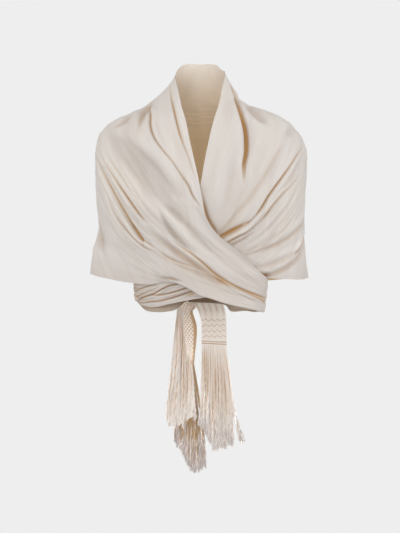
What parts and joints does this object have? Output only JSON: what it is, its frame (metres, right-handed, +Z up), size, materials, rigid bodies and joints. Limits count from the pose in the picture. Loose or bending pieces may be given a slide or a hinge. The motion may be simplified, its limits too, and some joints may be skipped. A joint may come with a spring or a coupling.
{
  "type": "rebozo worn as a knotted wrap",
  "caption": "Cream satin rebozo worn as a wrap: shawl collar, covered upper arms, crossed front, and waist bands knotted behind with netted, fringed ends.",
  "frame": {"origin": "middle of the shoulder line, where the wearer's shoulders carry the cloth", "axes": "+Z up, the crossed front faces -Y, and +X is the right of someone who looks at the front"},
  "size_m": [0.459, 0.2654, 0.8755],
  "materials": {
    "cream_satin": "silk satin with a soft sheen",
    "knotted_net": "matte knotted silk thread",
    "silk_fringe": "loose twisted silk thread"
  },
  "bodies": {
    "root": {"back_and_shoulders": "cream_satin", "front_outer": "cream_satin", "front_inner": "cream_satin", "waist_outer": "cream_satin", "waist_inner": "cream_satin", "knot": "knotted_net", "net_flat": "knotted_net", "net_twisted": "knotted_net", "fringe_flat_near": "silk_fringe", "fringe_flat_far": "silk_fringe", "fringe_twist_near": "silk_fringe", "fringe_twist_far": "silk_fringe"}
  },
  "joints": []
}
